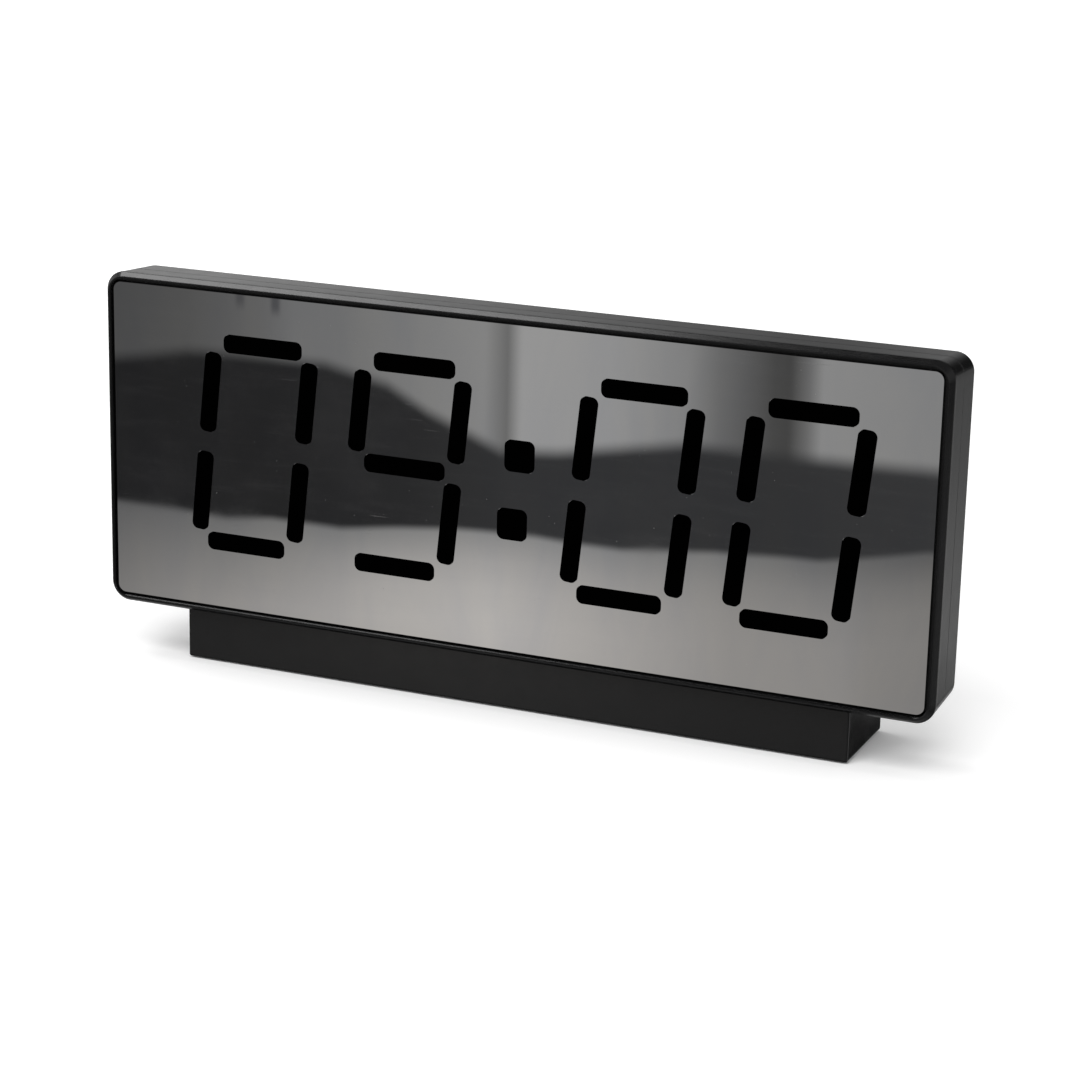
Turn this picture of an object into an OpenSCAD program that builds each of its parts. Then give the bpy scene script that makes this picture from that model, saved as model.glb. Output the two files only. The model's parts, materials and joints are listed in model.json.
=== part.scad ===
// Table alarm clock: a flat mirror-fronted housing on a low block base.
// Millimetres, +Z up, the front faces -Y. The origin is on the table, under the middle of the clock.

/* [Housing] */
// Width across the front frame
housing_w = 180; // [164:1:220]
// Height of the front frame
housing_h = 70.4; // [66:0.2:90]
// Depth from the lip to the back
housing_d = 15.5; // [15:0.5:20]
// Depth of the front frame, from its lip to the parting line
frame_d = 7.5; // [7:0.25:8.5]
// Corner radius of the front frame
frame_r = 4; // [3:0.1:4.6]
// Corner radius of the shell behind the front band
shell_r = 3.7; // [2.2:0.1:5]
// Width of the rim from the frame's edge to the mirror
rim_w = 2; // [1.8:0.1:2.8]
// Width of the bevel round the lip
bevel_w = 0.8; // [0.4:0.05:1]
// Depth of the bevel round the lip
bevel_d = 1.25; // [0.6:0.05:1.6]
// Depth of the flat band behind the bevel
band_d = 0.8; // [0.4:0.1:1.2]
// Step in from the band to the shell
shell_step = 0.1; // [0.1:0.05:0.5]
// Slope of the top and the underside towards the back, in degrees
shell_draft = 3.5; // [0.5:0.1:4]
// Radius of the back edge
back_r = 1.2; // [0.4:0.1:1.8]
// Side wall of the front frame at the parting line
side_wall = 1.8; // [1.4:0.1:2.2]
// Wall of the front frame behind the mirror
front_wall = 1.2; // [0.8:0.1:1.6]
// Back wall of the rear cover
back_wall = 2; // [1.6:0.1:2.2]
// Thickness of the cover's lip inside the frame
lip_t = 0.9; // [0.6:0.1:1.2]
// Reach of the cover's lip into the frame
lip_reach = 1.5; // [0.8:0.1:1.8]
// Width and depth of the groove at the parting line
parting_groove = 0.15; // [0.1:0.05:0.4]

/* [Mirror] */
// Corner radius of the mirror panel
mirror_r = 1.7; // [1.2:0.1:4]
// Thickness of the mirror panel
mirror_t = 1.8; // [1.4:0.1:2]
// How far the mirror lies behind the lip
mirror_recess = 0.4; // [0.2:0.1:0.6]
// Gap round the mirror
mirror_gap = 0.5; // [0.2:0.05:0.6]
// Thickness of the tape and of the diffuser
tape_t = 0.25; // [0.15:0.05:0.35]
// Width of the tape along each edge
tape_w = 4; // [3:0.5:5]
// Gap between the tape and the diffuser
film_gap = 1; // [0.5:0.1:1.5]

/* [Display] */
// Sideways place of the display's middle in the mirror
display_x = 3; // [-4:0.1:4]
// Height of the display's middle above the mirror's middle
display_z = 1.85; // [-3:0.05:3]
// Pitch from one digit to the next within a pair
digit_pitch = 34; // [30:0.5:35]
// Pitch from the second digit to the third
pair_pitch = 48.8; // [44:0.2:50]
// From a digit's middle to the middle of its top bar
digit_half_h = 21; // [17:0.1:22]
// From a digit's middle line to the middle of a side bar
digit_half_w = 11; // [10.8:0.1:12]
// Lean of the digits, in degrees
slant = 5.5; // [0:0.5:8]
// Length of a level bar
bar_level = 17.8; // [14:0.1:18]
// Length of an upright bar
bar_upright = 16.8; // [12:0.1:17]
// Width of a bar
bar_t = 3.75; // [2.5:0.05:4]
// Corner radius of a bar
bar_r = 1.4; // [0.5:0.1:1.8]
// Side of a colon dot
dot_size = 6.4; // [4:0.1:7]
// Spacing of the colon dots
dot_pitch = 14; // [10:0.1:18]
// Height of the colon's middle above the digits' middle
dot_z = -1.75; // [-3:0.05:3]
// Depth of the shown bars in the mirror's face
inlay_t = 0.3; // [0.1:0.05:0.6]
// Depth of the light guide
guide_t = 3.2; // [2.8:0.1:3.4]
// Rim of the light guide outside the bars
guide_rim = 1.6; // [1:0.1:2]

/* [Board] */
// Thickness of the circuit board
board_t = 1; // [0.8:0.1:1.2]
// Gap between the board's edge and the cover
board_gap = 1.5; // [1:0.1:3]
// From the board's upper and lower edge to its screws
board_screw_z = 2.2; // [2.1:0.1:5]

/* [Controls] */
// Radius of a push button
button_r = 3.5; // [2.5:0.1:4]
// How far a button stands out of the back
button_out = 1; // [0.5:0.1:1.6]
// Travel of a button
button_travel = 0.4; // [0.2:0.05:0.5]
// Pitch of the push buttons
button_pitch = 14; // [11:0.5:16]
// Place of the first push button along the back
button_x = -36; // [-40:1:-30]
// Height of the button row above the housing's middle
button_z = 17; // [14:0.5:20]
// Gap round a button
button_gap = 0.3; // [0.2:0.05:0.5]
// Place of the slide switch along the back
slider_x = 26; // [22:1:34]
// Travel of the slide switch
slider_travel = 2; // [1.5:0.1:2.5]

/* [Coin cell] */
// From the housing's left side to the coin cell's middle
cell_x = 38; // [32:1:42]
// Height of the coin cell's middle above the housing's middle
cell_z = -7; // [-9:0.5:-4]
// Radius of the coin cell
cell_r = 10; // [8:0.5:10]
// Thickness of the coin cell
cell_t = 3.2; // [2:0.1:3.2]
// Turn that frees the cell's cap, in degrees
cap_turn = 65; // [60:1:75]

/* [Power and sound] */
// From the housing's right side to the power socket's middle
socket_x = 54; // [52:1:64]
// Height of the power socket above the housing's middle
socket_z = -18; // [-20:0.5:-10]
// Width of the power socket
socket_w = 8.94; // [8.9:0.01:9.2]
// Height of the power socket
socket_h = 3.26; // [3.2:0.01:3.4]
// From the housing's right side to the buzzer's middle
buzzer_x = 30; // [22:1:36]
// Height of the buzzer above the housing's middle
buzzer_z = 6; // [0:0.5:12]
// Radius of the buzzer
buzzer_r = 6; // [4.5:0.1:7]

/* [Base] */
// Width of the base
base_w = 145.4; // [120:0.2:170]
// Depth of the base
base_d = 22; // [20:0.5:40]
// Height of the housing's underside above the table
base_h = 11.3; // [9.5:0.1:20]
// How far the base's front lies behind the lip
base_setback = 3; // [2.6:0.1:5]
// Wall of the base
base_wall = 2; // [1.6:0.1:3]
// Rounding of the base's edges
base_edge = 0.4; // [0.3:0.1:1.2]
// Thickness of the plate under the base
plate_t = 1.2; // [1:0.1:2]
// How far the rubber feet stand below the base
foot_out = 0.3; // [0.3:0.1:1]
// Length of a rubber foot
foot_l = 24; // [12:1:30]
// Width of a rubber foot
foot_w = 3.2; // [2.4:0.1:4]
// From the base's end to the rubber foot
foot_end = 14; // [12:1:20]
// Place of the screws that hold the housing, from the middle
base_screw_x = 45; // [38:1:55]

/* [Hidden] */

$fn = 64;
thin = 0.01;               // thickness of a section that a hull joins
over = 1;                  // how far a cut runs past a face
fit = 0.05;                // clearance round a screw, a plate or a seat
slip = 0.3;                // clearance round a captive piece

// Depths run from the lip, so t = 0 is the front of the frame.
total_d = max(base_setback + base_d, housing_d);
front_y = -total_d / 2;
mid_z = base_h + housing_h / 2;
band_end = bevel_d + band_d;
back_in = housing_d - back_wall;

// How far the top and the underside of the shell lie inside the frame's outline. The sides are straight.
function slope_in(t) = shell_step + (t - band_end) * tan(shell_draft);

frame_in_w = housing_w - 2 * (shell_step + side_wall);
frame_in_h = housing_h - 2 * (slope_in(frame_d) + side_wall);
lip_gap = 0.1;
cover_in_w = frame_in_w - 2 * (lip_gap + lip_t);
cover_in_h = frame_in_h - 2 * (lip_gap + lip_t);
in_r = 1.5;                // inside corner radius of the two shells

mirror_w = housing_w - 2 * rim_w;
mirror_h = housing_h - 2 * rim_w;
mirror_back = mirror_recess + mirror_t;
tape_edge = 1;             // from the mirror's edge to the tape
wall_t0 = mirror_back + tape_t;
wall_t1 = wall_t0 + front_wall;
board_t0 = wall_t0 + guide_t;
board_t1 = board_t0 + board_t;

// Housing screws
screw_r = 1.25;
screw_head_r = 2.2;
screw_head_h = 1.6;
screw_sink = 3;            // depth of the counterbore in the back
screw_bite = 3.6;          // length of screw in the frame
boss_r = 3.2;
boss_x = cover_in_w / 2 - boss_r - slip;
boss_z = cover_in_h / 2 - boss_r - slip;
boss_at = [for (sx = [-1, 1], sz = [-1, 1]) [sx * boss_x, sz * boss_z]];

// Board screws
small_r = 1;
small_head_r = 1.9;
small_head_h = 0.9;
small_bite = 2.2;
small_boss_r = 2.5;
board_w = cover_in_w - 2 * board_gap;
board_h = cover_in_h - 2 * board_gap;

// Display: bars a to g of a digit as [across, up, upright]
BARS = [[0, 1, false], [1, 0.5, true], [1, -0.5, true], [0, -1, false],
        [-1, -0.5, true], [-1, 0.5, true], [0, 0, false]];
ZERO = [0, 1, 2, 3, 4, 5];
NINE = [0, 1, 2, 3, 5, 6];
EIGHT = [0, 1, 2, 3, 4, 5, 6];
digit_1 = -pair_pitch / 2 - digit_pitch;
digit_2 = -pair_pitch / 2;
digit_3 = pair_pitch / 2;
digit_4 = pair_pitch / 2 + digit_pitch;
lean = digit_half_h * tan(slant);
pair_mid = (digit_3 + digit_4) / 2;
board_screw_row = board_h / 2 - board_screw_z;
board_screw_at = [for (sx = [-1, 1], sz = [-1, 1])
    [display_x + sx * pair_mid + (sz * board_screw_row - display_z) * tan(slant), sz * board_screw_row]];
guide_w = 2 * (digit_4 + digit_half_w + lean + bar_t / 2 + guide_rim);
guide_h = 2 * (digit_half_h + bar_t / 2 + guide_rim);
guide_r = 1;
peg_r = 1.4;
peg_z = digit_half_h - 2;
led_w = 2.8;
led_h = 1.6;
led_t = 0.8;

// Parts on the board: size as [width, height, depth], place from the housing's middle
driver_size = [17.9, 7.5, 2.3];
driver_at = [0, -8];
driver_legs = 14;
clock_chip_size = [10, 4, 1.6];
clock_chip_at = [-20, -10];
clock_chip_legs = 8;
chip_leg_out = 1.2;
chip_gap = 0.1;
crystal_l = 6;
crystal_r = 1;
crystal_at = [-23, -17];
capacitor_r = 2.5;
capacitor_h = 5.4;
capacitor_dip = [1.6, 0.2];
capacitor_at = [10, -22];
capacitor_pitch = 8;
resistor_size = [1.25, 2, 0.5];
resistor_at = [-13, -1];
resistor_pitch = 4;

// Controls
tact_w = 6;
tact_h = 3.5;
tact_t1 = board_t1 + tact_h;
plunger_r = 1.75;
plunger_out = 0.85;
plunger_t1 = tact_t1 + plunger_out;
button_flange_r = button_r + 1.1;
button_flange_t = 1;
button_stem_r = 1.5;
button_chamfer = 0.4;
flange_t1 = back_in - 2 * fit;
slider_case = [8.6, 4.4];
slider_case_t1 = board_t1 + 3.5;
slider_lever = 1.8;
slider_pad = [4.4, 3.2];
slider_pad_t = 1.2;
slider_pad_out = 0.3;
slider_recess = slider_pad_t;
slider_dip = 1.2;          // how far the lever reaches into its case
slider_ridge = 0.4;

// Coin cell well, from the back inwards
cell_at = [cell_x - housing_w / 2, cell_z];
cap_disc_t = 1.5;
cap_seat = housing_d - cap_disc_t - fit * 3;
cap_rim_t = 1;
cap_groove_h = 1.1;
cap_lug_gap = 0.2;
cap_lug_a = 40;            // width of a lug, in degrees
cap_notch_a = cap_lug_a + 8;
cap_rim_t0 = cap_seat - cap_rim_t;
cap_groove_t0 = cap_rim_t0 - cap_groove_h;
cap_lug_t0 = cap_groove_t0 + cap_lug_gap;
cap_lug_t1 = cap_rim_t0 - cap_lug_gap;
cell_t1 = cap_lug_t0 - slip;
cell_t0 = cell_t1 - cell_t;
contact_t = 0.3;
well_floor = cell_t0 - contact_t;
well_floor_t = 0.8;
well_r = cell_r + 0.2;
cap_hub_r = cell_r - 0.1;
cap_rim_r = cap_hub_r + 0.4;
cap_lug_r = cap_hub_r + 1.8;
cap_groove_r = cap_lug_r + 0.4;
cap_disc_r = cap_groove_r - slip;
well_wall = 1.5;
cap_slot = [14, 2, 0.9];   // coin slot: length, width, depth
contact_w = 4;
minus_reach = 6;           // the minus leaf runs this far each way from the cell's middle

// Power socket
socket_at = [housing_w / 2 - socket_x, socket_z];
socket_skin = 0.35;
socket_mouth = housing_d - 1.2;
socket_depth = 6.2;
socket_tongue = [6.7, 0.7, 5];
socket_lead_in = 2;        // how far the recess runs past the socket all round

// Buzzer
buzzer_at = [housing_w / 2 - buzzer_x, buzzer_z];
buzzer_h = 6;
buzzer_hole_r = 1;
sound_hole_r = 0.8;
sound_ring_r = 3.2;

// Base
base_mid = base_setback + base_d / 2;
base_top = base_h + slope_in(housing_d);
base_floor = foot_out + plate_t;
base_roof_t = 1.6;         // top wall of the base
base_roof = base_h - base_roof_t;
plate_lap = 1;             // width of the shell's edge outside the plate
base_screw_r = 1.45;
base_head_r = 2.7;
base_head_h = 2;
base_bite = 6;
base_boss_r = 2.9;
base_screw_t = board_t1 + small_head_h + base_boss_r + fit;
plate_screw_x = base_w / 2 - 8;
plate_head_h = 1;
rib_x = base_w / 6;
rib_t = 1.2;
foot_sink = 0.6;
foot_x = base_w / 2 - foot_l / 2 - foot_end;

// ---------- helpers ----------

module in_housing() {
    translate([0, front_y, mid_z]) children();
}

// Extrudes a front-view outline from depth t0 to depth t1.
module slab(t0, t1) {
    translate([0, t1, 0]) rotate([90, 0, 0]) linear_extrude(t1 - t0) children();
}

module rod(t0, t1, r, r_back = -1) {
    translate([0, t0, 0]) rotate([-90, 0, 0])
        cylinder(h = t1 - t0, r1 = r, r2 = r_back < 0 ? r : r_back);
}

module at(x, z) {
    translate([x, 0, z]) children();
}

module rounded(w, h, r) {
    square([w - 2 * r, h], center = true);
    square([w, h - 2 * r], center = true);
    for (x = [-1, 1], y = [-1, 1])
        translate([x * (w / 2 - r), y * (h / 2 - r)]) circle(r);
}

// Repeats a piece at every [x, z] of a list.
module at_each(places) {
    for (p = places) at(p[0], p[1]) children();
}

// One section of the shell, ready to be hulled with another.
module shell_section(t, slope_t, inset = 0) {
    slab(t - thin, t) rounded(housing_w - 2 * (shell_step + inset),
                              housing_h - 2 * (slope_in(slope_t) + inset), shell_r, $fn = 48);
}

module cross_recess(w, depth) {
    for (a = [0, 90]) rotate([0, 0, a]) translate([0, 0, -depth / 2])
        cube([w, w / 4, depth], center = true);
}

// A screw standing along +Z with its head's top at z = 0.
module screw(r, length, head_r, head_h) {
    difference() {
        translate([0, 0, -head_h]) cylinder(h = head_h, r1 = head_r, r2 = head_r * 0.8);
        cross_recess(head_r, head_h * 0.6);
    }
    translate([0, 0, -head_h - length]) cylinder(h = length, r = r);
}

// ---------- display outlines ----------

module bar(i, grow = 0) {
    p = BARS[i];
    z = p[1] * digit_half_h;
    translate([p[0] * digit_half_w + z * tan(slant), z])
        rotate(p[2] ? 90 - slant : 0)
            rounded((p[2] ? bar_upright : bar_level) + 2 * grow, bar_t + 2 * grow, bar_r);
}

module digit(x, lit, grow = 0) {
    translate([display_x + x, display_z]) for (i = lit) bar(i, grow);
}

module colon(grow = 0) {
    translate([display_x, display_z + dot_z]) for (s = [-1, 1])
        translate([s * dot_pitch / 2 * tan(slant), s * dot_pitch / 2])
            rounded(dot_size + 2 * grow, dot_size + 2 * grow, bar_r);
}

module shown_time(grow) {
    digit(digit_1, ZERO, grow);
    digit(digit_2, NINE, grow);
    digit(digit_3, ZERO, grow);
    digit(digit_4, ZERO, grow);
    colon(grow);
}

// Outline of the light guide, notched where a boss or a stand-off reaches into it.
module guide_outline(grow = 0) {
    difference() {
        translate([display_x, display_z])
            rounded(guide_w + 2 * grow, guide_h + 2 * grow, guide_r + grow);
        for (p = boss_at) translate(p) circle(boss_r + slip - grow);
        for (p = board_screw_at) translate(p) circle(small_boss_r + slip - grow);
    }
}

// What the tape leaves free behind the mirror.
module window(inset = 0) {
    edge = film_gap - inset;
    intersection() {
        translate([display_x, display_z]) rounded(guide_w + 2 * edge, guide_h + 2 * edge, guide_r);
        rounded(mirror_w - 2 * (tape_w + inset), mirror_h - 2 * (tape_w + inset), mirror_r);
    }
}

// ---------- front ----------

module front_frame() color("#1b1b1c") in_housing() difference() {
    union() {
        hull() {
            slab(0, thin)
                rounded(housing_w - 2 * bevel_w, housing_h - 2 * bevel_w, frame_r - bevel_w / 2, $fn = 48);
            slab(bevel_d, band_end) rounded(housing_w, housing_h, frame_r, $fn = 48);
        }
        hull() {
            shell_section(band_end, band_end);
            shell_section(frame_d, frame_d);
        }
    }
    slab(-over, wall_t0)
        rounded(mirror_w + 2 * mirror_gap, mirror_h + 2 * mirror_gap, mirror_r + mirror_gap);
    slab(0, wall_t1 + thin) guide_outline(slip);
    difference() {
        slab(wall_t1, frame_d + over) rounded(frame_in_w, frame_in_h, in_r);
        at_each(boss_at) rod(0, frame_d, boss_r);
        at_each(board_screw_at) rod(0, board_t0, small_boss_r);
    }
    at_each(boss_at) rod(frame_d - screw_bite - slip, frame_d + over, screw_r + fit);
    at_each(board_screw_at) rod(board_t0 - small_bite - slip, board_t0 + over, small_r + fit);
}

module mirror_panel() color("#5c5c5e") in_housing() difference() {
    slab(mirror_recess, mirror_back) rounded(mirror_w, mirror_h, mirror_r);
    slab(0, mirror_recess + inlay_t) shown_time(fit);
}

module mirror_tape() color("#2a2a2a") in_housing() slab(mirror_back, wall_t0) difference() {
    rounded(mirror_w - 2 * tape_edge, mirror_h - 2 * tape_edge, mirror_r);
    window();
}

module diffuser_film() color("#e8e8e4") in_housing() slab(mirror_back, wall_t0) window(film_gap);

module shown(x, lit) color("#050505") in_housing()
    slab(mirror_recess, mirror_recess + inlay_t) digit(x, lit);

module digit_hour_tens() shown(digit_1, ZERO);
module digit_hour_units() shown(digit_2, NINE);
module digit_minute_tens() shown(digit_3, ZERO);
module digit_minute_units() shown(digit_4, ZERO);
module colon_dots() color("#050505") in_housing() slab(mirror_recess, mirror_recess + inlay_t) colon();

// ---------- behind the mirror ----------

module light_guide() color("#f2f2ee") in_housing() {
    slab(wall_t0, board_t0) difference() {
        guide_outline();
        for (x = [digit_1, digit_2, digit_3, digit_4]) digit(x, EIGHT);
        colon();
    }
    for (s = [-1, 1]) at(display_x, display_z + s * peg_z) rod(board_t0 - thin, board_t1, peg_r);
}

module circuit_board() color("#1f5b35") in_housing() difference() {
    slab(board_t0, board_t1) difference() {
        rounded(board_w, board_h, in_r);
        for (sx = [-1, 1], sz = [-1, 1])
            translate([sx * (boss_x - boss_r - slip), sz * (boss_z - boss_r - slip)])
                translate([sx > 0 ? 0 : -housing_w, sz > 0 ? 0 : -housing_h])
                    square([housing_w, housing_h]);
    }
    at_each(board_screw_at) rod(board_t0 - over, board_t1 + over, small_r + slip);
    for (s = [-1, 1]) at(display_x, display_z + s * peg_z)
        rod(board_t0 - over, board_t1 + over, peg_r + fit);
}

module led() slab(board_t0 - led_t, board_t0) difference() {
    square([led_w, led_h], center = true);
    circle(led_h / 4);
}

module segment_leds() color("#f4e9a8") in_housing() {
    for (x = [digit_1, digit_2, digit_3, digit_4], i = EIGHT) {
        z = BARS[i][1] * digit_half_h;
        at(display_x + x + BARS[i][0] * digit_half_w + z * tan(slant), display_z + z)
            rotate([0, BARS[i][2] ? slant - 90 : 0, 0]) led();
    }
    for (s = [-1, 1])
        at(display_x + s * dot_pitch / 2 * tan(slant), display_z + dot_z + s * dot_pitch / 2) led();
}

// A chip with legs down both long sides.
module chip(size, legs) {
    pitch = size[0] / legs;
    slab(board_t1 + chip_gap, board_t1 + size[2]) square([size[0], size[1]], center = true);
    slab(board_t1, board_t1 + size[2] / 2) for (i = [0 : legs - 1])
        translate([(i - (legs - 1) / 2) * pitch, 0])
            square([pitch * 0.35, size[1] + 2 * chip_leg_out], center = true);
}

module driver_chip() color("#232325") in_housing() at(driver_at[0], driver_at[1])
    chip(driver_size, driver_legs);

module clock_chip() color("#232325") in_housing() at(clock_chip_at[0], clock_chip_at[1])
    chip(clock_chip_size, clock_chip_legs);

module crystal() color("#c9c9cc") in_housing()
    translate([crystal_at[0], board_t1 + crystal_r, crystal_at[1]]) rotate([0, 90, 0])
        cylinder(h = crystal_l, r = crystal_r);

module capacitors() color("#2c3550") in_housing() for (i = [0, 1])
    at(capacitor_at[0] + i * capacitor_pitch, capacitor_at[1]) difference() {
        rod(board_t1, board_t1 + capacitor_h, capacitor_r);
        rod(board_t1 + capacitor_h - capacitor_dip[1], board_t1 + capacitor_h + over, capacitor_dip[0]);
    }

module chip_resistors() color("#3a3a3a") in_housing() for (i = [0 : 7])
    at(resistor_at[0] + i * resistor_pitch, resistor_at[1])
        slab(board_t1, board_t1 + resistor_size[2])
            square([resistor_size[0], resistor_size[1]], center = true);

module buzzer() color("#19191a") in_housing() at(buzzer_at[0], buzzer_at[1]) difference() {
    rod(board_t1, board_t1 + buzzer_h, buzzer_r);
    rod(board_t1 + buzzer_h / 2, board_t1 + buzzer_h + over, buzzer_hole_r);
}

module socket_outline(grow) {
    rounded(socket_w + 2 * grow, socket_h + 2 * grow, socket_h / 2 + grow - 0.03);
}

module power_socket_shell() color("#b9babd") in_housing() at(socket_at[0], socket_at[1])
    slab(board_t1, socket_mouth) difference() {
        socket_outline(0);
        socket_outline(-socket_skin);
    }

module power_socket_core() color("#1a1a1a") in_housing() at(socket_at[0], socket_at[1]) {
    slab(board_t1, socket_mouth - socket_depth) socket_outline(-socket_skin - fit);
    slab(socket_mouth - socket_depth - thin, socket_mouth - socket_depth + socket_tongue[2])
        square([socket_tongue[0], socket_tongue[1]], center = true);
}

// ---------- controls ----------

module tact_switches() color("#2b2b2d") in_housing() for (i = [0 : 3])
    at(button_x + i * button_pitch, button_z) difference() {
        slab(board_t1, tact_t1) square(tact_w, center = true);
        rod(tact_t1 - 2 * button_travel - slip, tact_t1 + over, plunger_r + fit);
    }

module plunger(i) color("#d8c9a0") in_housing() at(button_x + i * button_pitch, button_z)
    rod(tact_t1 - button_travel, plunger_t1, plunger_r);

module plunger_set() plunger(0);
module plunger_alarm() plunger(1);
module plunger_up() plunger(2);
module plunger_down() plunger(3);

module button(i) color("#161617") in_housing() at(button_x + i * button_pitch, button_z) {
    rod(plunger_t1, flange_t1 - button_flange_t, button_stem_r);
    rod(flange_t1 - button_flange_t, flange_t1, button_flange_r);
    rod(flange_t1 - thin, housing_d + button_out - button_chamfer, button_r);
    rod(housing_d + button_out - button_chamfer, housing_d + button_out,
        button_r, button_r - button_chamfer);
}

module button_set() button(0);
module button_alarm() button(1);
module button_up() button(2);
module button_down() button(3);

module slide_switch_case() color("#b4b5b8") in_housing() difference() {
    at(slider_x, button_z) slab(board_t1, slider_case_t1) square(slider_case, center = true);
    at(slider_x + slider_travel / 2, button_z)
        slab(slider_case_t1 - slider_dip - slip, slider_case_t1 + over)
            square([slider_lever + slider_travel + 2 * slip, slider_lever + 2 * slip], center = true);
}

module slide_switch_knob() color("#161617") in_housing() at(slider_x, button_z) {
    pad_t1 = housing_d + slider_pad_out;
    slab(slider_case_t1 - slider_dip, pad_t1 - slider_pad_t + thin) square(slider_lever, center = true);
    difference() {
        slab(pad_t1 - slider_pad_t, pad_t1) rounded(slider_pad[0], slider_pad[1], 0.5);
        for (i = [-1 : 1]) at(i * 3 * slider_ridge, 0) slab(pad_t1 - slider_ridge, pad_t1 + over)
            square([slider_ridge, slider_pad[1] + over], center = true);
    }
}

// ---------- coin cell ----------

// A ring sector centred on the +X direction.
module sector(r0, r1, a) {
    intersection() {
        difference() {
            circle(r1);
            circle(r0);
        }
        polygon([[0, 0], 2 * r1 * [cos(a / 2), -sin(a / 2)], 2 * r1 * [cos(a / 2), sin(a / 2)]]);
    }
}

module coin_cell() color("#c4c5c8") in_housing() at(cell_at[0], cell_at[1]) {
    rod(cell_t0, cell_t0 + 0.6, cell_r - 1.2);
    rod(cell_t0 + 0.6, cell_t1, cell_r);
}

module cell_contact_minus() color("#c9b37a") in_housing() at(cell_at[0], cell_at[1]) {
    slab(well_floor, cell_t0) square([2 * minus_reach, contact_w], center = true);
    translate([-minus_reach, board_t1, -contact_w / 2])
        cube([contact_t, cell_t0 - board_t1, contact_w]);
}

module cell_contact_plus() color("#c9b37a") in_housing() at(cell_at[0], cell_at[1])
    translate([cell_r + fit, board_t1, -contact_w / 2])
        cube([contact_t, cell_t1 - 0.4 - board_t1, contact_w]);

module cell_cap() color("#1b1b1c") in_housing() at(cell_at[0], cell_at[1]) difference() {
    union() {
        rod(housing_d - cap_disc_t, housing_d, cap_disc_r);
        rod(cap_lug_t0, housing_d - cap_disc_t + thin, cap_hub_r);
        slab(cap_lug_t0, cap_lug_t1) for (a = [0, 180]) rotate(a)
            sector(cap_hub_r - 1, cap_lug_r, cap_lug_a);
    }
    slab(housing_d - cap_slot[2], housing_d + over) square([cap_slot[0], cap_slot[1]], center = true);
}

// ---------- back ----------

module cover_outside() {
    edge = housing_d - back_r;
    hull() {
        shell_section(frame_d + thin, frame_d);
        for (a = [0 : 15 : 90])
            shell_section(edge + back_r * sin(a), edge, back_r * (1 - cos(a)));
    }
}

module lip_ring() {
    difference() {
        rounded(cover_in_w + 2 * lip_t, cover_in_h + 2 * lip_t, in_r);
        rounded(cover_in_w, cover_in_h, in_r);
    }
}

module cell_well_cuts() {
    rod(cap_seat, housing_d + over, cap_groove_r);
    rod(cap_groove_t0, housing_d, cap_rim_r);
    rod(cap_groove_t0, cap_rim_t0, cap_groove_r);
    rod(well_floor, housing_d, well_r);
    slab(cap_rim_t0 - thin, cap_seat + thin) for (a = [0, 180]) rotate(a - cap_turn)
        sector(cap_rim_r - 1, cap_groove_r, cap_notch_a);
    // slots for the two contacts
    translate([-minus_reach - slip, 0, -contact_w / 2 - slip])
        cube([contact_t + 2 * slip, housing_d / 2 + well_floor_t, contact_w + 2 * slip]);
    translate([cell_r - slip, 0, -contact_w / 2 - slip])
        cube([contact_t + fit + 2 * slip, cell_t1, contact_w + 2 * slip]);
}

module rear_cover() color("#1b1b1c") in_housing() difference() {
    union() {
        difference() {
            cover_outside();
            slab(0, back_in) rounded(cover_in_w, cover_in_h, in_r);
        }
        slab(frame_d - lip_reach, frame_d + 2 * thin) lip_ring();
        at_each(boss_at) rod(frame_d, back_in + thin, boss_r);
        at(cell_at[0], cell_at[1]) rod(well_floor - well_floor_t, back_in + thin, cap_groove_r + well_wall);
        for (s = [-1, 1]) translate([s * base_screw_x, base_screw_t, -cover_in_h / 2 - thin])
            cylinder(h = base_bite - 1, r = base_boss_r);
    }
    // groove at the parting line
    slab(frame_d - thin, frame_d + parting_groove) difference() {
        square([housing_w + over, housing_h + over], center = true);
        rounded(housing_w - 2 * (shell_step + parting_groove),
                housing_h - 2 * (slope_in(frame_d) + parting_groove), shell_r);
    }
    at_each(boss_at) {
        rod(frame_d - over, housing_d + over, screw_r + fit);
        rod(housing_d - screw_sink, housing_d + over, screw_head_r + slip);
    }
    for (s = [-1, 1]) translate([s * base_screw_x, base_screw_t, -housing_h / 2])
        cylinder(h = (housing_h - cover_in_h) / 2 + base_bite - 2, r = base_screw_r + fit);
    for (i = [0 : 3]) at(button_x + i * button_pitch, button_z)
        rod(back_in - over, housing_d + over, button_r + button_gap);
    at(slider_x + slider_travel / 2, button_z) {
        slab(housing_d - slider_recess, housing_d + over)
            rounded(slider_pad[0] + slider_travel + 2 * slip, slider_pad[1] + 2 * slip, 0.7);
        slab(back_in - over, housing_d)
            square([slider_lever + slider_travel + 2 * slip, slider_lever + 2 * slip], center = true);
    }
    at(socket_at[0], socket_at[1]) {
        slab(back_in - over, housing_d) socket_outline(slip);
        slab(socket_mouth, housing_d + over) socket_outline(socket_lead_in);
    }
    at(buzzer_at[0], buzzer_at[1]) {
        rod(back_in - over, housing_d + over, sound_hole_r);
        for (a = [0 : 60 : 300]) at(sound_ring_r * cos(a), sound_ring_r * sin(a))
            rod(back_in - over, housing_d + over, sound_hole_r);
    }
    at(cell_at[0], cell_at[1]) cell_well_cuts();
}

module board_screws() color("#8d8f92") in_housing() at_each(board_screw_at)
    translate([0, board_t1 + small_head_h, 0]) rotate([-90, 0, 0])
        screw(small_r, small_bite + board_t, small_head_r, small_head_h);

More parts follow.
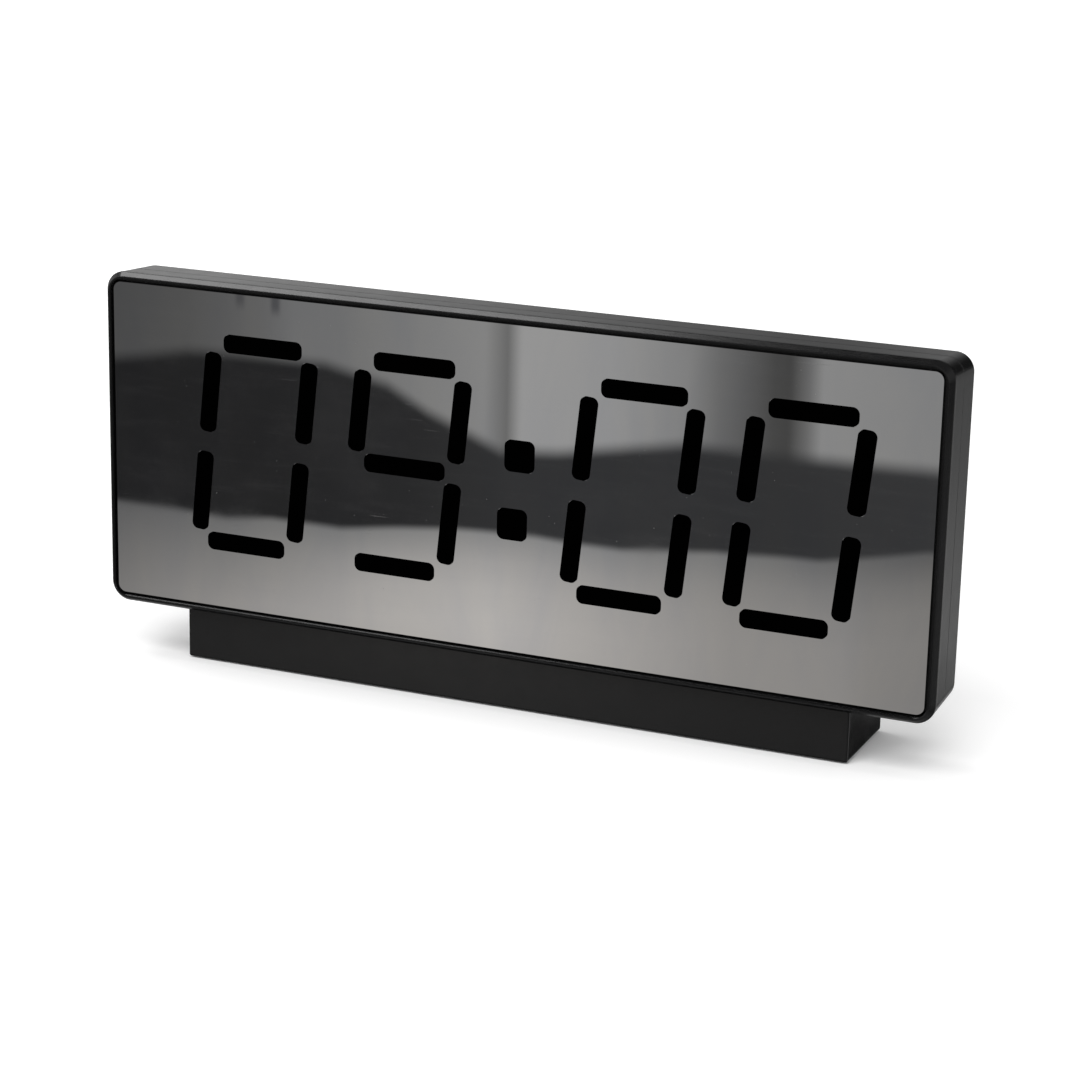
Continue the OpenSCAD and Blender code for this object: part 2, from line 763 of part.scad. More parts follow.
module housing_screws() color("#8d8f92") in_housing() at_each(boss_at)
    translate([0, housing_d - screw_sink + screw_head_h, 0]) rotate([-90, 0, 0])
        screw(screw_r, housing_d - screw_sink - frame_d + screw_bite, screw_head_r, screw_head_h);

// ---------- base ----------

module base_layer(z, inset) {
    translate([0, base_mid, z]) linear_extrude(thin)
        rounded(base_w - 2 * inset, base_d - 2 * inset, base_edge, $fn = 32);
}

// The space that the housing's sloping underside takes, left a fit away.
module housing_saddle() {
    t0 = base_setback - over;
    t1 = housing_d + fit;
    translate([-base_w / 2 - over, 0, 0]) rotate([90, 0, 90]) linear_extrude(base_w + 2 * over)
        polygon([[t0, base_h + slope_in(t0) - fit], [t1, base_h + slope_in(t1) - fit],
                 [t1, base_top + over], [t0, base_top + over]]);
}

module base_shell() color("#1b1b1c") translate([0, front_y, 0]) difference() {
    hull() {
        base_layer(foot_out, base_edge);
        base_layer(foot_out + base_edge * 0.3, base_edge * 0.3);
        base_layer(foot_out + base_edge, 0);
        base_layer(base_top - base_edge * 0.5, 0);
        base_layer(base_top - thin, base_edge * 0.5);
    }
    housing_saddle();
    translate([0, base_mid, foot_out - over]) linear_extrude(plate_t + over)
        square([base_w - 2 * plate_lap, base_d - 2 * plate_lap], center = true);
    difference() {
        translate([0, base_mid, foot_out]) linear_extrude(base_roof - foot_out)
            square([base_w - 2 * base_wall, base_d - 2 * base_wall], center = true);
        for (s = [-1, 1]) {
            translate([s * plate_screw_x, base_mid, base_floor]) cylinder(h = base_h, r = small_boss_r);
            translate([s * rib_x - rib_t / 2, base_setback, base_floor + slip])
                cube([rib_t, base_d, base_h]);
        }
    }
    for (s = [-1, 1]) {
        translate([s * plate_screw_x, base_mid, 0])
            cylinder(h = base_floor + small_bite + slip, r = small_r + fit);
        translate([s * base_screw_x, base_screw_t, base_roof - over])
            cylinder(h = base_top, r = base_screw_r + fit);
    }
}

module base_plate() color("#202021") translate([0, front_y, 0]) difference() {
    translate([0, base_mid, foot_out]) linear_extrude(plate_t)
        square([base_w - 2 * plate_lap - 2 * fit, base_d - 2 * plate_lap - 2 * fit], center = true);
    feet(foot_out - over, foot_sink + over, fit);
    for (s = [-1, 1]) translate([s * plate_screw_x, base_mid, 0]) {
        cylinder(h = base_floor + over, r = small_r + fit);
        translate([0, 0, foot_out - over]) cylinder(h = plate_head_h + over - 0.3, r = small_head_r + fit);
    }
}

module feet(z, h, grow) {
    edge = base_d / 2 - plate_lap - foot_w / 2 - 0.4;
    for (sx = [-1, 1], sy = [-1, 1]) translate([sx * foot_x, base_mid + sy * edge, z])
        linear_extrude(h) rounded(foot_l + 2 * grow, foot_w + 2 * grow, foot_w / 2 + grow - 0.05);
}

module rubber_feet() color("#0f0f0f") translate([0, front_y, 0]) feet(0, foot_out + foot_sink, 0);

module base_screws() color("#8d8f92") translate([0, front_y, 0]) for (s = [-1, 1])
    translate([s * base_screw_x, base_screw_t, base_roof - base_head_h]) rotate([180, 0, 0])
        screw(base_screw_r, base_h - base_roof + base_bite, base_head_r, base_head_h);

module plate_screws() color("#8d8f92") translate([0, front_y, 0]) for (s = [-1, 1])
    translate([s * plate_screw_x, base_mid, foot_out]) rotate([180, 0, 0])
        screw(small_r, plate_t - plate_head_h + 0.3 + small_bite, small_head_r, plate_head_h - 0.3);

front_frame();
mirror_panel();
mirror_tape();
diffuser_film();
digit_hour_tens();
digit_hour_units();
colon_dots();
digit_minute_tens();
digit_minute_units();
light_guide();
circuit_board();
segment_leds();
driver_chip();
clock_chip();
crystal();
capacitors();
chip_resistors();
buzzer();
power_socket_shell();
power_socket_core();
tact_switches();
plunger_set();
plunger_alarm();
plunger_up();
plunger_down();
button_set();
button_alarm();
button_up();
button_down();
slide_switch_case();
slide_switch_knob();
coin_cell();
cell_contact_minus();
cell_contact_plus();
cell_cap();
rear_cover();
board_screws();
housing_screws();
base_shell();
base_plate();
rubber_feet();
base_screws();
plate_screws();
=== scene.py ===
import json
import math

import bpy
from mathutils import Matrix, Vector


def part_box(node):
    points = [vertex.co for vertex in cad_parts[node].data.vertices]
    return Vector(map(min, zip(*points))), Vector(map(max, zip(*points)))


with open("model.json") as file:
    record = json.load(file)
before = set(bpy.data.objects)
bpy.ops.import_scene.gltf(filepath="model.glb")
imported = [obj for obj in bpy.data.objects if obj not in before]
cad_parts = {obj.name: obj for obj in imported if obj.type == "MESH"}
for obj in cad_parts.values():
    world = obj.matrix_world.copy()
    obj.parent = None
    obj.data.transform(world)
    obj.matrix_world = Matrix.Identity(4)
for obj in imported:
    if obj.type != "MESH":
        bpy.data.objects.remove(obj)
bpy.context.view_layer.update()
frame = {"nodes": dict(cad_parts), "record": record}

MM = 0.001
nodes = frame["nodes"]
scene = bpy.context.scene
scene.view_settings.view_transform = "Standard"

# the flat front of the frame, called the lip here, stands round the mirror
frame_lo, frame_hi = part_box("front_frame")
lip_middle = Vector((0, frame_lo[1], (frame_lo[2] + frame_hi[2]) / 2))

# ---------------------------------------------------------------- camera
YAW, PITCH, ROLL = (math.radians(a) for a in (23.06, 15.915, 1.31))
LENS = 97.69
SENSOR = 36
# where the camera sees the lip's middle: to its right, up and ahead
LIP_FROM_CAMERA = (-7.7 * MM, 9.88 * MM, 577.2 * MM)


def aim_camera():
    ahead = Vector((-math.sin(YAW) * math.cos(PITCH), math.cos(YAW) * math.cos(PITCH), -math.sin(PITCH)))
    level = Vector((math.cos(YAW), math.sin(YAW), 0))
    upright = level.cross(ahead)
    right = math.cos(ROLL) * level + math.sin(ROLL) * upright
    up = math.cos(ROLL) * upright - math.sin(ROLL) * level
    place = lip_middle - LIP_FROM_CAMERA[0] * right - LIP_FROM_CAMERA[1] * up - LIP_FROM_CAMERA[2] * ahead
    data = bpy.data.cameras.new("camera")
    data.lens = LENS
    data.sensor_width = SENSOR
    data.clip_start = 0.01
    data.clip_end = 50
    camera = bpy.data.objects.new("camera", data)
    scene.collection.objects.link(camera)
    camera.matrix_world = Matrix((
        (right.x, up.x, -ahead.x, place.x),
        (right.y, up.y, -ahead.y, place.y),
        (right.z, up.z, -ahead.z, place.z),
        (0, 0, 0, 1)))
    scene.camera = camera


aim_camera()


# ---------------------------------------------------------------- node helpers
def grey(level):
    return (level, level, level, 1)


class Tree:
    """A short way to write node trees. Apart from node and put, each method returns an output socket."""

    def __init__(self, tree):
        self.tree = tree
        tree.nodes.clear()

    def node(self, kind, **settings):
        made = self.tree.nodes.new(kind)
        for key, value in settings.items():
            setattr(made, key, value)
        return made

    def put(self, value, socket):
        if isinstance(value, bpy.types.NodeSocket):
            self.tree.links.new(value, socket)
        else:
            socket.default_value = value

    def math(self, operation, a, b=0.0, c=0.0, clamp=False):
        made = self.node("ShaderNodeMath", operation=operation, use_clamp=clamp)
        for value, socket in zip((a, b, c), made.inputs):
            self.put(value, socket)
        return made.outputs[0]

    def mix(self, share, a, b):
        made = self.node("ShaderNodeMix", data_type="RGBA")
        for value, index in ((share, 0), (a, 6), (b, 7)):
            self.put(value, made.inputs[index])
        return made.outputs[2]

    def map(self, value, low, high, to_low=0.0, to_high=1.0, smooth=True):
        made = self.node("ShaderNodeMapRange", clamp=True,
                         interpolation_type="SMOOTHSTEP" if smooth else "LINEAR")
        for v, socket in zip((value, low, high, to_low, to_high), made.inputs):
            self.put(v, socket)
        return made.outputs[0]

    def only(self, value, outer_low, low, high, outer_high):
        """1 from low to high, falling to 0 at the outer ends."""
        return self.math("MULTIPLY", self.map(value, outer_low, low), self.map(value, outer_high, high))

    def ramp(self, value, *stops):
        """A colour or a grey level for each place from 0 to 1."""
        made = self.node("ShaderNodeValToRGB")
        while len(made.color_ramp.elements) < len(stops):
            made.color_ramp.elements.new(0.5)
        for element, (place, colour) in zip(made.color_ramp.elements, stops):
            element.position = place
            element.color = grey(colour) if isinstance(colour, (int, float)) else colour
        self.put(value, made.inputs[0])
        return made.outputs[0]

    def noise(self, vector, scale, detail=2.0, rough=0.5, distortion=0.0):
        made = self.node("ShaderNodeTexNoise")
        for value, name in ((vector, "Vector"), (scale, "Scale"), (detail, "Detail"),
                            (rough, "Roughness"), (distortion, "Distortion")):
            self.put(value, made.inputs[name])
        return made.outputs[0]

    def place(self, scale=(1, 1, 1), turn=(0, 0, 0), move=(0, 0, 0), source=None):
        """The object's own coordinates, in metres, or another source, stretched, turned and moved."""
        made = self.node("ShaderNodeMapping")
        self.put(source or self.node("ShaderNodeTexCoord").outputs["Object"], made.inputs["Vector"])
        made.inputs["Scale"].default_value = scale
        made.inputs["Rotation"].default_value = turn
        made.inputs["Location"].default_value = move
        return made.outputs[0]

    def axis(self, vector, index):
        split = self.node("ShaderNodeSeparateXYZ")
        self.put(vector, split.inputs[0])
        return split.outputs[index]

    def bump(self, height, strength, distance, normal=None):
        made = self.node("ShaderNodeBump")
        made.inputs["Strength"].default_value = strength
        made.inputs["Distance"].default_value = distance
        self.put(height, made.inputs["Height"])
        if normal is not None:
            self.put(normal, made.inputs["Normal"])
        return made.outputs[0]

    def soft_edges(self, radius, samples=4):
        made = self.node("ShaderNodeBevel", samples=samples)
        made.inputs["Radius"].default_value = radius
        return made.outputs[0]

    def edge_mask(self, radius):
        """1 along convex and concave edges, 0 on flat faces."""
        dot = self.node("ShaderNodeVectorMath", operation="DOT_PRODUCT")
        self.put(self.soft_edges(radius), dot.inputs[0])
        self.put(self.node("ShaderNodeNewGeometry").outputs["Normal"], dot.inputs[1])
        return self.map(self.math("SUBTRACT", 1.0, dot.outputs["Value"]), 0.02, 0.25)

    def open_sky(self, reach, samples):
        """1 where nothing stands within reach, falling to 0 in corners."""
        made = self.node("ShaderNodeAmbientOcclusion", samples=samples)
        made.inputs["Distance"].default_value = reach
        return made.outputs["AO"]

    def rounded_lip(self):
        """The lip's height: it rounds off inwards from its outer edge, a rounded rectangle in x and z."""
        at = self.place(move=(0, 0, -lip_middle.z))
        across, up = (self.math("ADD", self.math("ABSOLUTE", self.axis(at, i)), LIP_CORNER - half)
                      for i, half in ((0, LIP_HALF_W), (2, LIP_HALF_H)))
        squares = (self.math("POWER", self.math("MAXIMUM", beyond, 0), 2) for beyond in (across, up))
        out = self.math("SQRT", self.math("ADD", *squares))
        edge = self.math("ADD", out, self.math("MINIMUM", self.math("MAXIMUM", across, up), 0))
        depth = self.map(self.math("SUBTRACT", LIP_CORNER, edge), 0, LIP_W, 0, LIP_W, smooth=False)
        return self.math("MULTIPLY", self.math("MULTIPLY", depth, depth), -LIP_SLOPE / (2 * LIP_W))


def display_to_linear(level):
    """A display level of 0 to 255 as linear light."""
    c = level / 255
    return c / 12.92 if c <= 0.04045 else ((c + 0.055) / 1.055) ** 2.4


def scaled(colour, factor, lift=0.0):
    return (*[min(1, c * factor + lift) for c in colour], 1)


def material(name, **fixed):
    """A material with a Principled shader; fixed sets sockets by name. Returns (material, tree, shader)."""
    made = bpy.data.materials.new(name)
    made.use_nodes = True
    t = Tree(made.node_tree)
    shader = t.node("ShaderNodeBsdfPrincipled")
    out = t.node("ShaderNodeOutputMaterial")
    t.put(shader.outputs[0], out.inputs[0])
    for key, value in fixed.items():
        shader.inputs[key.replace("_", " ")].default_value = value
    return made, t, shader


# ---------------------------------------------------------------- materials
FRAME_BEVEL = 0.8 * MM
LIP_HALF_W = (frame_hi[0] - frame_lo[0]) / 2 - FRAME_BEVEL
LIP_HALF_H = (frame_hi[2] - frame_lo[2]) / 2 - FRAME_BEVEL
LIP_CORNER = 3.6 * MM
LIP_W = 0.7 * MM
LIP_SLOPE = 1.7            # steepness at the lip's inner edge
BLACK = (0.0036, 0.0036, 0.0038)
BUTTON_BLACK = (0.011, 0.011, 0.012)
DUST = (0.42, 0.41, 0.39, 1)
MIRROR = 0.6               # the share of the light that the mirror gives back


def moulded(name, colour, rough, shine=0.5, wear=0.05, edge=0.3 * MM, lip=False):
    """Moulded plastic: fine grain, slow changes in sheen, light wear on edges, dust on what faces up."""
    made, t, shader = material(name, IOR=1.5, Specular_IOR_Level=shine)
    at = t.place()
    slow = t.noise(at, 38, 4, 0.55)
    cloudy = t.noise(at, 210, 3, 0.6)
    mark = t.math("MULTIPLY", t.edge_mask(edge), t.map(t.noise(at, 320, 4, 0.7), 0.42, 0.72))
    normal = t.node("ShaderNodeNewGeometry").outputs["Normal"]
    facing_up = t.map(t.axis(normal, 2), 0.6, 0.95)
    speck = t.map(t.noise(at, 1900, 3, 0.75), 0.66, 0.8)
    lint = t.map(t.noise(at, 90, 3, 0.6), 0.42, 0.75)
    dusty = t.math("MULTIPLY", t.math("MULTIPLY", speck, lint), t.math("MULTIPLY_ADD", facing_up, 0.8, 0.2))
    base = t.mix(t.map(slow, 0.3, 0.7), scaled(colour, 0.85), scaled(colour, 1.18))
    base = t.mix(t.math("MULTIPLY", mark, wear), base, scaled(colour, 2.6, 0.02))
    base = t.mix(t.math("MULTIPLY", dusty, 0.2, clamp=True), base, DUST)
    t.put(base, shader.inputs["Base Color"])
    sheen = t.map(cloudy, 0.3, 0.7, rough - 0.015, rough + 0.02)
    sheen = t.math("ADD", sheen, t.map(slow, 0.25, 0.75, -0.02, 0.02))
    t.put(t.math("SUBTRACT", sheen, t.math("MULTIPLY", mark, 0.12)), shader.inputs["Roughness"])
    shape = t.soft_edges(edge, 8)
    if lip:
        shape = t.bump(t.rounded_lip(), 1, 1, shape)
    t.put(t.bump(t.noise(at, 4200, 2, 0.6), 0.06, 0.03 * MM, shape), shader.inputs["Normal"])
    return made


def mirror_material():
    """Half-mirror: polished, with faint smudges and wipes, fine scratches and specks of dust."""
    made, t, shader = material("mirror", Metallic=1.0, Coat_Roughness=0.3)
    at = t.place()
    smudge = t.map(t.noise(at, 26, 5, 0.62, 0.4), 0.46, 0.78)
    speck = t.map(t.noise(at, 2300, 2, 0.6), 0.745, 0.80)
    scratch_lines = t.noise(t.place((90, 90, 2600), (0, 0.9, 0)), 1, 2, 0.5)
    scratch = t.math("MULTIPLY", t.map(scratch_lines, 0.68, 0.74), t.map(t.noise(at, 34, 2, 0.5), 0.48, 0.6))
    marks = t.math("MAXIMUM", speck, t.math("MULTIPLY", scratch, 0.2))
    wipes = t.map(t.noise(t.place((60, 60, 620), (0, 0.15, 0)), 1, 5, 0.7, 0.3), 0.45, 0.75)
    haze = t.math("ADD", t.math("MULTIPLY", smudge, 0.8), t.math("MULTIPLY", wipes, 0.5), clamp=True)
    t.put(haze, shader.inputs["Coat Weight"])
    tint = t.map(t.noise(t.place((1, 1, 0.3), (0, 0.35, 0)), 62, 4, 0.6, 0.6), 0.35, 0.75)
    glass = t.mix(tint, scaled((1.005, 1.0, 0.99), MIRROR), scaled((0.933, 0.94, 0.96), MIRROR))
    t.put(t.mix(t.math("MULTIPLY", marks, 0.4), glass, (0.8, 0.8, 0.79, 1)), shader.inputs["Base Color"])
    rough = t.math("MULTIPLY_ADD", smudge, 0.022, 0.010)
    t.put(t.math("MULTIPLY_ADD", marks, 0.3, rough), shader.inputs["Roughness"])
    return made


def digit_material():
    """Bars of the display: as black as they come, and matt."""
    made, t, shader = material("digit_black", Specular_IOR_Level=0.0)
    at = t.place()
    t.put(t.mix(t.noise(at, 160), grey(0.0001), grey(0.0003)), shader.inputs["Base Color"])
    t.put(t.map(t.noise(at, 900), 0.3, 0.7, 0.55, 0.7), shader.inputs["Roughness"])
    return made


def metal(name, colour, rough, brushed=(1, 1, 1)):
    """Plated or brushed metal with a grain and faint tarnish."""
    made, t, shader = material(name, Metallic=1.0)
    grain = t.noise(t.place(brushed), 2600, 3, 0.6)
    tarnish = t.map(t.noise(t.place(), 420, 4, 0.65), 0.45, 0.75)
    base = t.mix(t.math("MULTIPLY", tarnish, 0.35), (*colour, 1), scaled(colour, 0.7))
    t.put(base, shader.inputs["Base Color"])
    t.put(t.map(grain, 0.3, 0.7, rough - 0.06, rough + 0.08), shader.inputs["Roughness"])
    t.put(t.bump(grain, 0.1, 0.01 * MM, t.soft_edges(0.05 * MM)), shader.inputs["Normal"])
    return made


def plain(name, colour, rough, grain=1500, depth=0.1):
    """An inner piece or a foot: its colour varies a little, with a fine grain."""
    made, t, shader = material(name)
    at = t.place()
    t.put(t.mix(t.noise(at, 140, 3), scaled(colour, 0.88), scaled(colour, 1.12)), shader.inputs["Base Color"])
    fine = t.noise(at, grain, 2, 0.6)
    t.put(t.map(fine, 0.3, 0.7, rough - 0.05, rough + 0.05), shader.inputs["Roughness"])
    t.put(t.bump(fine, depth, 0.02 * MM), shader.inputs["Normal"])
    return made


# one look for each material slot of the record
LOOKS = {
    "housing_black": moulded("housing_black", BLACK, 0.215),
    "button": moulded("button", BUTTON_BLACK, 0.34, wear=0.4, edge=0.15 * MM),
    "mirror": mirror_material(),
    "digit_black": digit_material(),
    "tape": plain("tape", (0.02, 0.02, 0.02), 0.8),
    "diffuser": plain("diffuser", (0.8, 0.8, 0.78), 0.7),
    "guide_white": plain("guide_white", (0.82, 0.82, 0.8), 0.55),
    "board": plain("board", (0.02, 0.10, 0.045), 0.35),
    "led": plain("led", (0.85, 0.8, 0.5), 0.35),
    "chip": plain("chip", (0.02, 0.02, 0.022), 0.6),
    "capacitor": plain("capacitor", (0.05, 0.06, 0.1), 0.4),
    "resistor": plain("resistor", (0.03, 0.03, 0.03), 0.5),
    "buzzer": plain("buzzer", (0.02, 0.02, 0.02), 0.55),
    "socket_core": plain("socket_core", (0.015, 0.015, 0.015), 0.5),
    "switch_black": plain("switch_black", (0.02, 0.02, 0.022), 0.5),
    "plunger": plain("plunger", (0.6, 0.52, 0.35), 0.5),
    "foot_rubber": plain("foot_rubber", (0.016, 0.016, 0.016), 0.85, grain=2600, depth=0.3),
    "can": metal("can", (0.7, 0.7, 0.72), 0.3),
    "socket_steel": metal("socket_steel", (0.62, 0.62, 0.63), 0.3, (1, 0.1, 1)),
    "switch_steel": metal("switch_steel", (0.6, 0.6, 0.61), 0.35, (0.1, 1, 1)),
    "cell_steel": metal("cell_steel", (0.68, 0.68, 0.69), 0.28),
    "contact": metal("contact", (0.68, 0.5, 0.26), 0.3),
    "screw": metal("screw", (0.34, 0.34, 0.36), 0.35),
}


def wear_look(name, look):
    for holder in nodes[name].material_slots:
        holder.material = look


for row in frame["record"]["subparts"]:
    wear_look(row["node"], LOOKS[row["material_slot"]])

# the front frame's lip rounds off towards the mirror; the base is smoother than the housing
wear_look("front_frame", moulded("frame_black", BLACK, 0.215, lip=True))
base_black = moulded("base_black", BLACK, 0.09, shine=0.4)
for name in ("base_shell", "base_plate"):
    wear_look(name, base_black)


# ---------------------------------------------------------------- floor
FLOOR_HALF = 3.0
PAPER = 0.8
GLOW_NEAR, GLOW_FAR = 0.385, 0.95      # the glow at the first and second distance
GLOW_START, GLOW_END = 0.25, 0.8
# how far round the object the painted shadow on the floor reaches
PAINTED_SHADOW_REACH = 30 * MM


def floor_material():
    """White paper with a glow that only the camera sees. The glow is weaker near the object and fades where
    the object stands close, which paints a shadow round the object on top of the lamps' real shadow on the
    paper.
    """
    made = bpy.data.materials.new("floor_white")
    made.use_nodes = True
    t = Tree(made.node_tree)
    paper = t.node("ShaderNodeBsdfDiffuse")
    t.put(t.mix(t.noise(t.place(), 12, 3), grey(PAPER - 0.01), grey(PAPER + 0.01)), paper.inputs["Color"])
    away = t.node("ShaderNodeVectorMath", operation="LENGTH")
    t.put(t.node("ShaderNodeTexCoord").outputs["Object"], away.inputs[0])
    strength = t.map(away.outputs["Value"], GLOW_START, GLOW_END, GLOW_NEAR, GLOW_FAR)
    # painted shadow: the glow fades where the object stands within reach, darkening the floor round it
    strength = t.math("MULTIPLY", t.open_sky(PAINTED_SHADOW_REACH, 16), strength)
    seen_directly = t.node("ShaderNodeLightPath").outputs["Is Camera Ray"]
    glow = t.node("ShaderNodeEmission")
    t.put(grey(1.0), glow.inputs["Color"])
    t.put(t.math("MULTIPLY", seen_directly, strength), glow.inputs["Strength"])
    both = t.node("ShaderNodeAddShader")
    t.put(paper.outputs[0], both.inputs[0])
    t.put(glow.outputs[0], both.inputs[1])
    out = t.node("ShaderNodeOutputMaterial")
    t.put(both.outputs[0], out.inputs[0])
    return made


def make_floor():
    corners = [(sx * FLOOR_HALF, sy * FLOOR_HALF, 0) for sx, sy in ((-1, -1), (1, -1), (1, 1), (-1, 1))]
    mesh = bpy.data.meshes.new("floor")
    mesh.from_pydata(corners, [], [(0, 1, 2, 3)])
    mesh.materials.append(floor_material())
    floor = bpy.data.objects.new("floor", mesh)
    scene.collection.objects.link(floor)
    floor.visible_glossy = False


make_floor()


# ---------------------------------------------------------------- light
def soft_box(name, place, target, size, power):
    data = bpy.data.lights.new(name, "AREA")
    data.shape = "RECTANGLE"
    data.size, data.size_y = size
    data.energy = power
    light = bpy.data.objects.new(name, data)
    scene.collection.objects.link(light)
    place = Vector(place)
    turn = (Vector(target) - place).to_track_quat("-Z", "Y")
    light.matrix_world = Matrix.Translation(place) @ turn.to_matrix().to_4x4()
    light.visible_camera = False
    return light


soft_box("key", (-0.62, 0.10, 1.03), (-0.06, 0, 0.06), (0.46, 0.5), 3.1)
fill = soft_box("fill", (0, -1.2, 1.3), (0, 0, 0.04), (1.6, 1.2), 30.9)
fill.visible_glossy = False


# ---------------------------------------------------------------- world
# Directions are unit vectors: x to the right, y to the back, z up. This room isn't neutral: the stops of its
# ramps were picked from light levels and edges measured on the reference photo, to suit its one view.
WARM, COOL, BLUE = (1.035, 1.0, 0.965), (0.98, 0.99, 1.03), (0.95, 0.95, 1.12)
MIRROR_ENDS = [math.tan(math.radians(a)) for a in (-31.6, -15.2)]
STREAKS = ((0.17, 0.232, 0.5), (0.216, 0.233, 0.6))      # place along the mirror, lower end, depth


def shown(level, tint=(1, 1, 1)):
    """The world's colour that the mirror turns into a display level."""
    return scaled(tint, display_to_linear(level) / MIRROR)


def seen_in_front(t, way):
    """What the mirror shows: two light parts, and a dark band between them."""
    x, y, z = (t.axis(way, i) for i in range(3))
    ahead = t.math("MAXIMUM", t.math("MULTIPLY", y, -1.0), 0.05)
    rise = t.math("DIVIDE", z, ahead)
    # 0 at the left end of the mirror's reflection and 1 at its right end
    along = t.map(t.math("DIVIDE", x, ahead), *MIRROR_ENDS, smooth=False)

    def across_mirror(*stops, tint=(1, 1, 1)):
        """Each stop: a place along the mirror and the display level there."""
        return t.ramp(along, *[(place, shown(level, tint)) for place, level in stops])

    upper = across_mirror((0.0, 74), (0.1, 80), (0.2, 97), (0.24, 109), (0.3, 111), (0.4, 122), (0.48, 131),
                          (0.508, 104), (0.525, 149), (0.63, 145), (0.72, 128), (0.757, 104), (0.82, 70),
                          (0.838, 66), (0.859, 104), (0.875, 135), (1.0, 128))
    band = across_mirror((0.0, 33), (0.2, 36), (0.4, 42), (0.52, 51), (0.8, 50), (1.0, 54), tint=COOL)
    under_band = across_mirror((0.0, 92), (0.48, 131), (0.6, 132), (0.8, 113), (1.0, 88))
    lower = across_mirror((0.0, 118), (0.2, 147), (0.36, 167), (0.49, 175), (0.66, 156), (0.78, 139),
                          (0.91, 135), (0.94, 128), (1.0, 124), tint=WARM)
    # how steeply down one looks at the band's ends, for each place along the mirror
    band_top = t.ramp(along, (0.0, 0.258), (0.1, 0.252), (0.28, 0.25), (0.36, 0.256), (0.41, 0.265),
                      (0.5, 0.277), (0.57, 0.2745), (0.72, 0.265), (1.0, 0.2635))
    band_bottom = t.ramp(along, (0.0, 0.318), (0.08, 0.318), (0.15, 0.3195), (0.21, 0.317), (0.3, 0.317),
                         (0.38, 0.313), (0.45, 0.3105), (0.55, 0.309), (0.65, 0.3095), (0.76, 0.3045),
                         (0.88, 0.3025), (1.0, 0.294))
    wave = t.math("MULTIPLY_ADD", t.noise(t.place((14, 14, 14), source=way), 1), 0.004, -0.002)
    height = t.math("ADD", rise, wave)
    over_top = t.math("ADD", height, band_top)
    over_bottom = t.math("ADD", height, band_bottom)
    for place, low, deep in STREAKS:
        beside = t.math("ABSOLUTE", t.math("SUBTRACT", along, place))
        above = t.map(height, -low - 0.002, -low + 0.004)
        upper = t.mix(t.math("MULTIPLY", t.map(beside, 0.009, 0.002, 0, deep), above), upper, shown(52, BLUE))
    seen = t.mix(t.map(over_top, 0.004, -0.004), upper, band)
    below = t.map(over_bottom, 0.0, -0.036, smooth=False)
    sooner = t.ramp(below, (0.0, 0.0), (0.35, 0.55), (0.65, 0.85), (1.0, 1.0))
    ground = t.mix(t.mix(t.map(along, 0.2, 0.35), below, sooner), under_band, lower)
    seen = t.mix(t.map(over_bottom, 0.002, -0.002), seen, ground)
    seen = t.mix(t.map(rise, -0.35, -0.40), seen, grey(0.38))
    return t.mix(t.map(z, -0.42, -0.56), seen, grey(0.16))


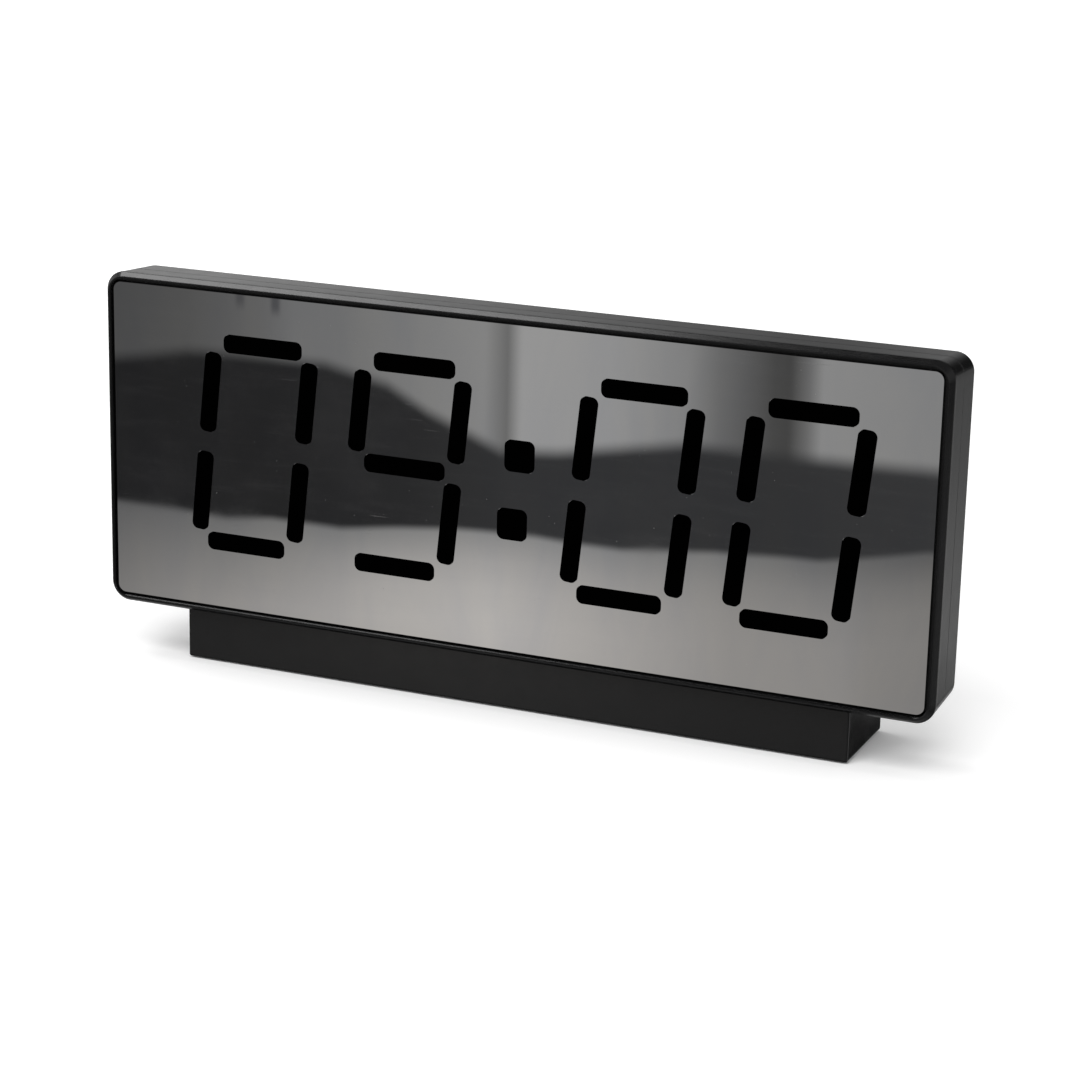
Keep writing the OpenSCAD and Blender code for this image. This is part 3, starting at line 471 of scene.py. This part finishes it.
def seen_all_round(t, way):
    """What glossy surfaces show: the part in front, and soft light behind, beside and overhead.

    The stops of a ramp over down: how far below the horizon, and how light it is there.
    """
    x, y, z = (t.axis(way, i) for i in range(3))
    down = t.math("MULTIPLY", z, -1.0)
    table = t.ramp(down, (0.0, 0.24), (0.2, 0.40), (0.4, 0.55), (0.6, 0.22), (1.0, 0.16))

    by_the_side = t.ramp(down, (0.0, 0.0), (0.05, 0.04), (0.11, 0.20), (0.18, 0.14), (0.24, 0.18),
                         (0.28, 0.37), (0.306, 0.53), (0.317, 0.24), (0.327, 0.03), (0.345, 0.0),
                         (0.375, 0.16), (0.48, 0.20))
    back_low = t.mix(t.only(x, 0.09, 0.16, 0.30, 0.36), table, by_the_side)
    back_high = t.ramp(t.map(x, -0.55, 0.55, smooth=False), (0.0, 0.67), (0.10, 0.48), (0.186, 0.25),
                       (0.235, 0.16), (0.28, 0.30), (0.43, 0.26), (0.54, 0.10), (0.64, 0.02), (0.87, 0.0),
                       (1.0, 0.30))
    back = t.mix(t.map(z, -0.10, 0.06), back_low, back_high)

    left_low = t.mix(t.map(y, -0.10, 0.10), grey(0.09), table)
    left = t.mix(t.map(z, -0.05, 0.10), left_low, grey(0.45))

    by_the_bevel = t.ramp(down, (0.0, 0.08), (0.22, 0.0), (0.255, 0.02), (0.288, 0.60), (0.31, 0.20),
                          (0.4, 0.10))
    right_low = t.mix(t.map(y, -0.10, 0.05), grey(0.10), table)
    right = t.mix(t.map(z, -0.05, 0.10), right_low, grey(0.40))
    right = t.mix(t.only(y, 0.05, 0.12, 0.22, 0.30), right, by_the_bevel)

    overhead = t.mix(t.only(x, -0.38, -0.28, -0.22, -0.12), grey(0.16), grey(0.05))

    seen = t.mix(t.map(y, -0.15, 0.15), seen_in_front(t, way), back)
    seen = t.mix(t.map(x, -0.55, -0.70), seen, left)
    seen = t.mix(t.map(x, 0.45, 0.8), seen, right)
    return t.mix(t.map(z, 0.45, 0.8), seen, overhead)


def make_world():
    """White to the camera, an even grey to matt surfaces and a soft room to glossy ones."""
    world = bpy.data.worlds.new("room")
    scene.world = world
    world.use_nodes = True
    t = Tree(world.node_tree)

    def background(colour):
        made = t.node("ShaderNodeBackground")
        t.put(colour, made.inputs["Color"])
        return made.outputs[0]

    def choose(ray, other, chosen):
        made = t.node("ShaderNodeMixShader")
        for value, socket in zip((path.outputs[ray], other, chosen), made.inputs):
            t.put(value, socket)
        return made.outputs[0]

    path = t.node("ShaderNodeLightPath")
    way = t.node("ShaderNodeTexCoord").outputs["Generated"]
    shading = choose("Is Glossy Ray", background(grey(0.35)), background(seen_all_round(t, way)))
    final = choose("Is Camera Ray", shading, background(grey(0.992)))
    out = t.node("ShaderNodeOutputWorld")
    t.put(final, out.inputs[0])


make_world()
